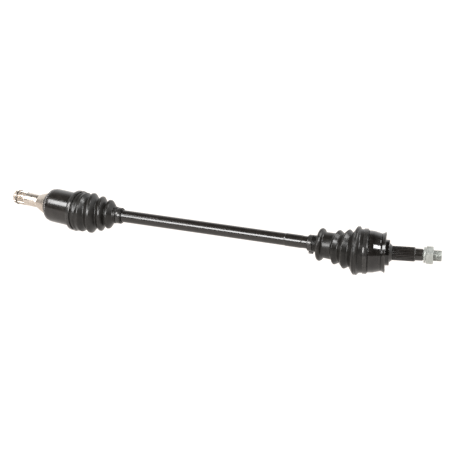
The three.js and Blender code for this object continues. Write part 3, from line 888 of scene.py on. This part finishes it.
# ---------------------------------------------------------------- outboard housing
BALL_CIRCLE = 26
BALL_GROOVE = 9.0
BALL_COUNT = 6
CAVITY_SPHERE = 28.9
OUTBOARD_TEETH = 26
NECK_STATION = 38.8
THREAD_START = 93
THREAD_END = 126.5
THREAD_RADIUS = 10
THREAD_DEPTH = 0.92
BELL_OUTSIDE = [
    (-13, 31.2, 1), (-13, 36.2, 0), (-12.4, 36.8, 0), (-3.4, 36.8, 0), (-3.2, 38.2, 0), (6, 37.5, 0),
    (18.8, 34.2, 0), (19.3, 33.2, 0), (24, 33.2, 0), (27, 30, 0), (27, 23.3, 0), (33.2, 23.3, 0),
    (34, 22.5, 0), (34, 17.4, 0), (NECK_STATION, 13.3, 0), (NECK_STATION, 0, 0),
]
DRIVE_OUTLINE = [
    (NECK_STATION, 0, 0), (NECK_STATION, 12.95, 1.15), (78.2, 12.95, 1.15), (79.5, 11.8, 0),
    (80, 10.9, 0), (92.4, 10.9, 0), (THREAD_START, 10.1, 0), (THREAD_START, 0, 0),
]


def build_outboard_housing(shape):
    cavity = [(22, 0, 0)]
    for i in range(13):
        station = 22 - 29.5 * i / 12
        cavity.append((station, math.sqrt(CAVITY_SPHERE ** 2 - station ** 2), 1))
    bell = turned(
        "outboard_bell_skin", cavity + eased(BELL_OUTSIDE, shape.edge), 2 * shape.facets, closed=True,
        contour=groove_contour(BALL_CIRCLE, BALL_GROOVE, BALL_COUNT),
    )
    marked(bell, "edge", near_any((-12.8, -3.3, 18.9, 33.6), 0.8))
    fitted(bell, OUTBOARD_CUP, "outboard_joint", polished_paint(), ["outboard_housing"])
    drive = turned(
        "outboard_spline_skin", eased(DRIVE_OUTLINE, shape.edge), 3 * shape.facets,
        contour=teeth_contour(OUTBOARD_TEETH),
    )
    marked(drive, "edge", near_any((79, 92.4), 1.5))
    fitted(drive, OUTBOARD_CUP, "outboard_joint", gloss_paint(), ["outboard_housing"])
    turns = (THREAD_END - THREAD_START) / shape.thread_pitch
    steps = math.ceil(turns * 8)
    rings = [(THREAD_START, 0, 0)]
    for i in range(steps + 1):
        station = THREAD_START + (THREAD_END - THREAD_START) * i / steps
        tip = min(THREAD_RADIUS, THREAD_RADIUS - 1.4 + (THREAD_END - station))
        rings.append((station, tip, max(0, THREAD_DEPTH - (THREAD_RADIUS - tip))))
    rings.append((THREAD_END, 0, 0))
    thread = turned("hub_thread_skin", rings, shape.facets, contour=thread_contour(shape.thread_pitch))
    fitted(thread, OUTBOARD_CUP, "outboard_joint", zinc_plate(), ["outboard_housing"])
    shield = turned(
        "dust_shield_skin",
        eased([
            (20.4, 33.5), (19.7, 33.5), (19.7, 34.4), (21.6, 34.4), (26.6, 37.2), (26.9, 36.6), (22, 33.5),
            (20.4, 33.5),
        ], 0.3),
        2 * shape.facets, closed=True,
    )
    marked(shield, "edge", near_any((26.7,), 0.8))
    fitted(shield, OUTBOARD_CUP, "outboard_joint", polished_paint(), ["dust_shield"])


# ---------------------------------------------------------------- hub washer and nut
NUT_FLATS = 30
NUT_START = 98.6
NUT_END = 111.6


def build_hub_fixings(shape):
    washer = turned(
        "hub_washer_skin",
        eased([(96, 10.3), (94.6, 10.3), (94.6, 14), (98.2, 14), (98.2, 10.3), (96, 10.3)], 0.5),
        shape.facets, closed=True,
    )
    marked(washer, "edge", near_any((94.6, 98.2), 0.7))
    fitted(washer, OUTBOARD_CUP, "outboard_joint", zinc_plate(), ["hub_washer"])
    corner = NUT_FLATS / 2 / math.cos(TURN / 12) + 0.1
    face = NUT_FLATS / 2 - 0.6
    end_chamfer = [(NUT_START + 1.6 * i / 4, face + (corner - face) * i / 4, 0) for i in range(5)]
    outline = [(NUT_START, 10.3, 1), *end_chamfer]
    outline += [(NUT_START + NUT_END - station, radius, 0) for station, radius, _flag in end_chamfer[::-1]]
    outline.append((NUT_END, 10.3, 1))
    nut = turned(
        "hub_nut_skin", outline, shape.facets, closed=True, contour=hexagon_contour(NUT_FLATS),
        crease_degrees=24,
    )
    marked(nut, "edge", near_any((NUT_START, NUT_END), 1.4))
    fitted(nut, OUTBOARD_CUP, "outboard_joint", zinc_plate(), ["hub_nut"])


# ---------------------------------------------------------------- clamps
# Ear angles in degrees from +Y towards +Z.
HIDDEN_EAR = -24
LOW_EAR = -90
CLAMPS = [
    ("clamp_inboard_small", 106.6, 114.4, 14.2, HIDDEN_EAR, INBOARD_BAR, "shaft"),
    ("clamp_inboard_large", 21.6, 29.6, 37.7, HIDDEN_EAR, INBOARD_CUP, "inboard_joint"),
    ("clamp_outboard_small", -114.6, -106.4, 14.2, LOW_EAR, OUTBOARD_BAR, "shaft"),
    ("clamp_outboard_large", -12.6, -5.2, 39.9, HIDDEN_EAR, OUTBOARD_CUP, "outboard_joint"),
]
CLAMP_THICKNESS = 1.1


def build_clamps():
    for node, low, high, inner, ear, place, body in CLAMPS:
        ear_clamp(node, low, high, inner, CLAMP_THICKNESS, ear, place, body)


# ---------------------------------------------------------------- bearings inside the joints
def build_bearings(shape):
    """Round balls and crowned rollers; the other inner pieces keep their frame shape."""
    for i in range(BALL_COUNT):
        node = f"ball_{i + 1}"
        low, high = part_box(node)
        radius = (high.z - low.z) / 2 / MM
        angles = [TURN / 2 * k / 24 for k in range(25)]
        arc = [(-radius * math.cos(angle), radius * math.sin(angle)) for angle in angles]
        ball = turned(node + "_skin", arc, shape.facets // 2)
        place = Matrix.Translation((low + high) / 2)
        fitted(ball, place, "cage", bearing_steel(), [node])
    inner, outer, crown, bore = 14.6, 24.4, 15.5, 10.3
    middle = (inner + outer) / 2
    profile = [(middle, bore), (inner, bore)]
    for k in range(13):
        off = (outer - inner) * (k / 12 - 0.5)
        profile.append((middle + off, math.sqrt(crown ** 2 - off ** 2)))
    profile += [(outer, bore), (middle, bore)]
    for i, side in enumerate("abc"):
        node = f"track_roller_{i + 1}"
        roller = turned(node + "_skin", eased(profile, 0.5), shape.facets, closed=True)
        arm = Matrix.Rotation(TURN * i / 3, 4, "X") @ Matrix.Rotation(-TURN / 4, 4, "Y")
        place = INBOARD_BAR @ arm
        fitted(roller, place, f"track_roller_{side}", bearing_steel(), [node])


SLOT_FINISHES = {
    "black_paint": gloss_paint,
    "ground_steel": ground_steel,
    "bearing_steel": bearing_steel,
    "spring_steel": spring_steel,
    "rubber": bellows_rubber,
    "clamp_steel": clamp_steel,
    "zinc": zinc_plate,
}


def finish_frame_nodes():
    """Gives every frame node the finish of its slot."""
    for node in frame["nodes"].values():
        slot = next((material.name for material in node.data.materials if material), "")
        finish = next((SLOT_FINISHES[key] for key in SLOT_FINISHES if slot.startswith(key)), bearing_steel)
        node.data.materials.clear()
        node.data.materials.append(finish())


# ---------------------------------------------------------------- stage
AIM_RIGHT = 0.02322
AIM_UP = 0.0056
CAMERA_AZIMUTH = 20
CAMERA_RISE = 23
CAMERA_DISTANCE = 2.6008
CAMERA_LENS = 111.5
FLOOR_HALF = 12
SWEEP_STRENGTH = 1.3
SOFT_FILL = 0.05
LIGHT_DISTANCE = 2
# Each soft box as (name, place along X, rise in degrees from the front, size, share of the key power).
SOFT_BOXES = [
    ("stub_end_box", -1.75, 51, (1.2, 0.9), 1.0),
    ("bar_box", -0.5, 27, (1.3, 0.75), 1.15),
    ("hub_end_box", 1.8, 60, (0.9, 0.7), 1.0),
    ("back_box", 1.8, 112, (0.9, 0.8), 0.9),
]


def area_light(name, place, aim, size, power):
    lamp = bpy.data.lights.new(name, "AREA")
    lamp.shape = "RECTANGLE"
    lamp.size, lamp.size_y = size
    lamp.energy = power
    light = bpy.data.objects.new(name, lamp)
    light.location = place
    light.rotation_euler = (Vector(aim) - Vector(place)).to_track_quat("-Z", "Y").to_euler()
    bpy.context.scene.collection.objects.link(light)


def backdrop_material(colour):
    made = bpy.data.materials.new("pale backdrop")
    made.use_nodes = True
    shader = next(node for node in made.node_tree.nodes if node.type == "BSDF_PRINCIPLED")
    shader.inputs["Base Color"].default_value = (0.06, 0.058, 0.056, 1)
    shader.inputs["Roughness"].default_value = 0.9
    shader.inputs["Specular IOR Level"].default_value = 0
    shader.inputs["Emission Color"].default_value = (*colour, 1)
    shader.inputs["Emission Strength"].default_value = 1.1
    return made


def build_stage(stage):
    scene = bpy.context.scene
    mesh = bpy.data.meshes.new("studio_floor")
    half, height = FLOOR_HALF, stage.floor
    corners = [(-half, -half, height), (half, -half, height), (half, half, height), (-half, half, height)]
    mesh.from_pydata(corners, [], [(0, 1, 2, 3)])
    mesh.materials.append(backdrop_material(tuple(stage.backdrop)))
    floor = bpy.data.objects.new("studio_floor", mesh)
    scene.collection.objects.link(floor)
    world = bpy.data.worlds.new("studio")
    world.use_nodes = True
    tree = world.node_tree
    background = next(node for node in tree.nodes if node.type == "BACKGROUND")
    apart = tree.nodes.new("ShaderNodeSeparateXYZ")
    link(tree, tree.nodes.new("ShaderNodeTexCoord").outputs["Generated"], apart.inputs[0])
    behind = map_range(tree, apart.outputs["Y"], -0.1, 0.3, 0.0, SWEEP_STRENGTH)
    sweep = math_node(tree, "MULTIPLY", behind, map_range(tree, apart.outputs["Z"], 0.5, 0.88, 1.0, 0.0))
    rays = tree.nodes.new("ShaderNodeLightPath")
    seen = math_node(tree, "MAXIMUM", rays.outputs["Is Camera Ray"], math_node(tree, "ADD", sweep, SOFT_FILL))
    link(tree, seen, background.inputs["Strength"])
    background.inputs["Color"].default_value = (1, 1, 1, 1)
    scene.world = world
    for name, along, rise_degrees, size, share in SOFT_BOXES:
        rise = math.radians(rise_degrees)
        place = (along, -LIGHT_DISTANCE * math.cos(rise), LIGHT_DISTANCE * math.sin(rise))
        area_light(name, place, (along, 0, 0), size, stage.key * share)
    azimuth = math.radians(CAMERA_AZIMUTH)
    rise = math.radians(CAMERA_RISE)
    back = Vector((math.sin(azimuth) * math.cos(rise), -math.cos(azimuth) * math.cos(rise), math.sin(rise)))
    right = Vector((math.cos(azimuth), math.sin(azimuth), 0))
    up = back.cross(right)
    lens = bpy.data.cameras.new("studio_camera")
    lens.lens = CAMERA_LENS
    lens.sensor_width = 36
    camera = bpy.data.objects.new("studio_camera", lens)
    camera.location = right * AIM_RIGHT + up * AIM_UP + back * CAMERA_DISTANCE
    camera.rotation_euler = (-back).to_track_quat("-Z", "Y").to_euler()
    scene.collection.objects.link(camera)
    scene.camera = camera
    scene.view_settings.view_transform = "Standard"


# ---------------------------------------------------------------- operators and panel
def build_boot(sections, outline, side, centre, spot, shape):
    for section in sections:
        bellows_section(section, outline, side, centre, spot, shape)


class HALFSHAFT_OT_bar(Operator):
    """Build the shaft bar"""

    bl_idname = "half_shaft.bar"
    bl_label = "Shaft bar"

    def execute(self, context):
        build_bar(context.scene.half_shaft_shape)
        return {"FINISHED"}


class HALFSHAFT_OT_inboard_housing(Operator):
    """Build the inboard cup, its splined stub and its spring rings"""

    bl_idname = "half_shaft.inboard_housing"
    bl_label = "Inboard housing"

    def execute(self, context):
        build_inboard_housing(context.scene.half_shaft_shape)
        return {"FINISHED"}


class HALFSHAFT_OT_outboard_housing(Operator):
    """Build the outboard bell, its splines, thread and dust shield"""

    bl_idname = "half_shaft.outboard_housing"
    bl_label = "Outboard housing"

    def execute(self, context):
        build_outboard_housing(context.scene.half_shaft_shape)
        return {"FINISHED"}


class HALFSHAFT_OT_hub_fixings(Operator):
    """Build the hub washer and nut"""

    bl_idname = "half_shaft.hub_fixings"
    bl_label = "Hub washer and nut"

    def execute(self, context):
        build_hub_fixings(context.scene.half_shaft_shape)
        return {"FINISHED"}


class HALFSHAFT_OT_bearings(Operator):
    """Build the balls and the track rollers, and finish the other inner pieces"""

    bl_idname = "half_shaft.bearings"
    bl_label = "Balls and rollers"

    def execute(self, context):
        build_bearings(context.scene.half_shaft_shape)
        finish_frame_nodes()
        return {"FINISHED"}


class HALFSHAFT_OT_inboard_boot(Operator):
    """Build the inboard bellows"""

    bl_idname = "half_shaft.inboard_boot"
    bl_label = "Inboard bellows"

    def execute(self, context):
        spot = middle_line(INBOARD_BEND_SPAN[0], INBOARD_BEND, INBOARD_BEND_SPAN[1], 0)
        shape = context.scene.half_shaft_shape
        build_boot(INBOARD_SECTIONS, INBOARD_BOOT, 1, INBOARD_CENTRE, spot, shape)
        return {"FINISHED"}


class HALFSHAFT_OT_outboard_boot(Operator):
    """Build the outboard bellows"""

    bl_idname = "half_shaft.outboard_boot"
    bl_label = "Outboard bellows"

    def execute(self, context):
        spot = middle_line(OUTBOARD_BEND_SPAN[0], 0, OUTBOARD_BEND_SPAN[1], OUTBOARD_BEND)
        shape = context.scene.half_shaft_shape
        build_boot(OUTBOARD_SECTIONS, OUTBOARD_BOOT, -1, OUTBOARD_CENTRE, spot, shape)
        return {"FINISHED"}


class HALFSHAFT_OT_clamps(Operator):
    """Build the four ear clamps"""

    bl_idname = "half_shaft.clamps"
    bl_label = "Boot clamps"

    def execute(self, _context):
        build_clamps()
        return {"FINISHED"}


class HALFSHAFT_OT_stage(Operator):
    """Build the floor, the lights and the camera"""

    bl_idname = "half_shaft.stage"
    bl_label = "Stage"

    def execute(self, context):
        build_stage(context.scene.half_shaft_stage)
        return {"FINISHED"}


OPERATORS = [
    HALFSHAFT_OT_bearings, HALFSHAFT_OT_bar, HALFSHAFT_OT_inboard_housing, HALFSHAFT_OT_outboard_housing,
    HALFSHAFT_OT_hub_fixings, HALFSHAFT_OT_inboard_boot, HALFSHAFT_OT_outboard_boot, HALFSHAFT_OT_clamps,
    HALFSHAFT_OT_stage,
]


class HALFSHAFT_PT_panel(Panel):
    """Sizes, finishes and one button for each group of pieces"""

    bl_label = "Half Shaft"
    bl_idname = "HALFSHAFT_PT_panel"
    bl_space_type = "VIEW_3D"
    bl_region_type = "UI"
    bl_category = "Half Shaft"

    def draw(self, context):
        for name in ("half_shaft_shape", "half_shaft_finish", "half_shaft_stage"):
            group = getattr(context.scene, name)
            box = self.layout.box()
            for setting in group.__annotations__:
                box.prop(group, setting)
        for operator in OPERATORS:
            self.layout.operator(operator.bl_idname)


CLASSES = [HalfShaftShape, HalfShaftFinish, HalfShaftStage, *OPERATORS, HALFSHAFT_PT_panel]


def register():
    for item in CLASSES:
        bpy.utils.register_class(item)
    bpy.types.Scene.half_shaft_shape = PointerProperty(type=HalfShaftShape)
    bpy.types.Scene.half_shaft_finish = PointerProperty(type=HalfShaftFinish)
    bpy.types.Scene.half_shaft_stage = PointerProperty(type=HalfShaftStage)


def unregister():
    del bpy.types.Scene.half_shaft_stage
    del bpy.types.Scene.half_shaft_finish
    del bpy.types.Scene.half_shaft_shape
    for item in reversed(CLASSES):
        bpy.utils.unregister_class(item)


def main():
    register()
    bpy.ops.half_shaft.bearings()
    bpy.ops.half_shaft.bar()
    bpy.ops.half_shaft.inboard_housing()
    bpy.ops.half_shaft.outboard_housing()
    bpy.ops.half_shaft.hub_fixings()
    bpy.ops.half_shaft.inboard_boot()
    bpy.ops.half_shaft.outboard_boot()
    bpy.ops.half_shaft.clamps()
    bpy.ops.half_shaft.stage()


if __name__ == "__main__":
    main()
